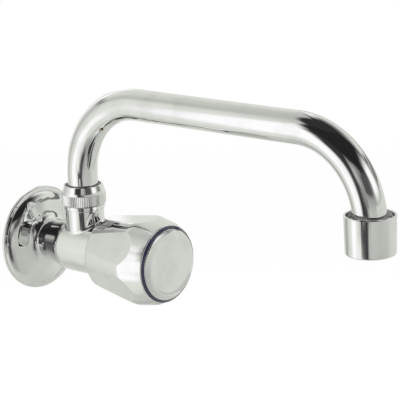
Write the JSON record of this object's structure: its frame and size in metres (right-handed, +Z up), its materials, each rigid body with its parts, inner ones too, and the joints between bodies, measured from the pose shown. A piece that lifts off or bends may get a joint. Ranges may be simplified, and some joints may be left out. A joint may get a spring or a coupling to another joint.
{
  "type": "wall-mounted tap with swivel spout",
  "caption": "Wall tap: a turning knob works a sliding valve plunger, and a bent tube spout with aerator swings on the body.",
  "frame": {"origin": "on the inlet's axis, in the plane of the wall that the rosette rests on", "axes": "+Y into the wall along the inlet, -Y out of the wall towards the knob and the outlet, +Z up along the spout's swivel axis, +X to the right for someone facing the wall"},
  "size_m": [0.0558, 0.2459, 0.1168],
  "materials": {
    "chrome_plate": "polished chrome plating on brass",
    "plated_plastic": "bright chrome plating on moulded plastic",
    "brass": "machined brass",
    "steel": "plain stainless steel",
    "rubber": "moulded rubber",
    "dark_plastic": "moulded dark plastic",
    "white_plastic": "moulded white plastic",
    "blue_plastic": "moulded blue plastic"
  },
  "bodies": {
    "tap": {"tap_body": "chrome_plate", "wall_rosette": "chrome_plate", "bonnet": "brass", "bonnet_gasket": "rubber", "spout_nut": "chrome_plate", "spout_guide_ring": "dark_plastic"},
    "knob": {"knob_shell": "plated_plastic", "knob_insert": "dark_plastic", "knob_screw": "steel", "index_ring": "blue_plastic", "index_cap": "plated_plastic", "spindle": "brass", "thrust_washer": "dark_plastic", "spindle_o_rings": "rubber", "spindle_circlip": "steel"},
    "plunger": {"jumper": "brass", "seat_washer": "rubber", "washer_screw": "brass"},
    "spout": {"spout_tube": "chrome_plate", "spout_tail": "brass", "spout_o_rings": "rubber", "split_ring": "dark_plastic", "outlet_sleeve": "chrome_plate", "aerator_housing": "chrome_plate", "aerator_gasket": "rubber", "aerator_cartridge": "white_plastic", "aerator_diffuser": "white_plastic", "aerator_screen": "steel"}
  },
  "joints": [
    {"name": "knob_turn", "type": "hinge", "parent": "tap", "child": "knob", "pos_m": [0, -0.0527, 0], "axis": [0, -1, 0], "range_deg": [0, 900]},
    {"name": "plunger_slide", "type": "slide", "parent": "tap", "child": "plunger", "axis": [0, -1, 0], "range_m": [0, 0.00505]},
    {"name": "spout_swivel", "type": "hinge", "parent": "tap", "child": "spout", "pos_m": [0, -0.0356, 0.0305], "axis": [0, 0, 1], "range_deg": [-95, 95]}
  ],
  "couplings": [
    {"joint": "plunger_slide", "follows": "knob_turn", "m_per_rad": 0.00031831}
  ]
}
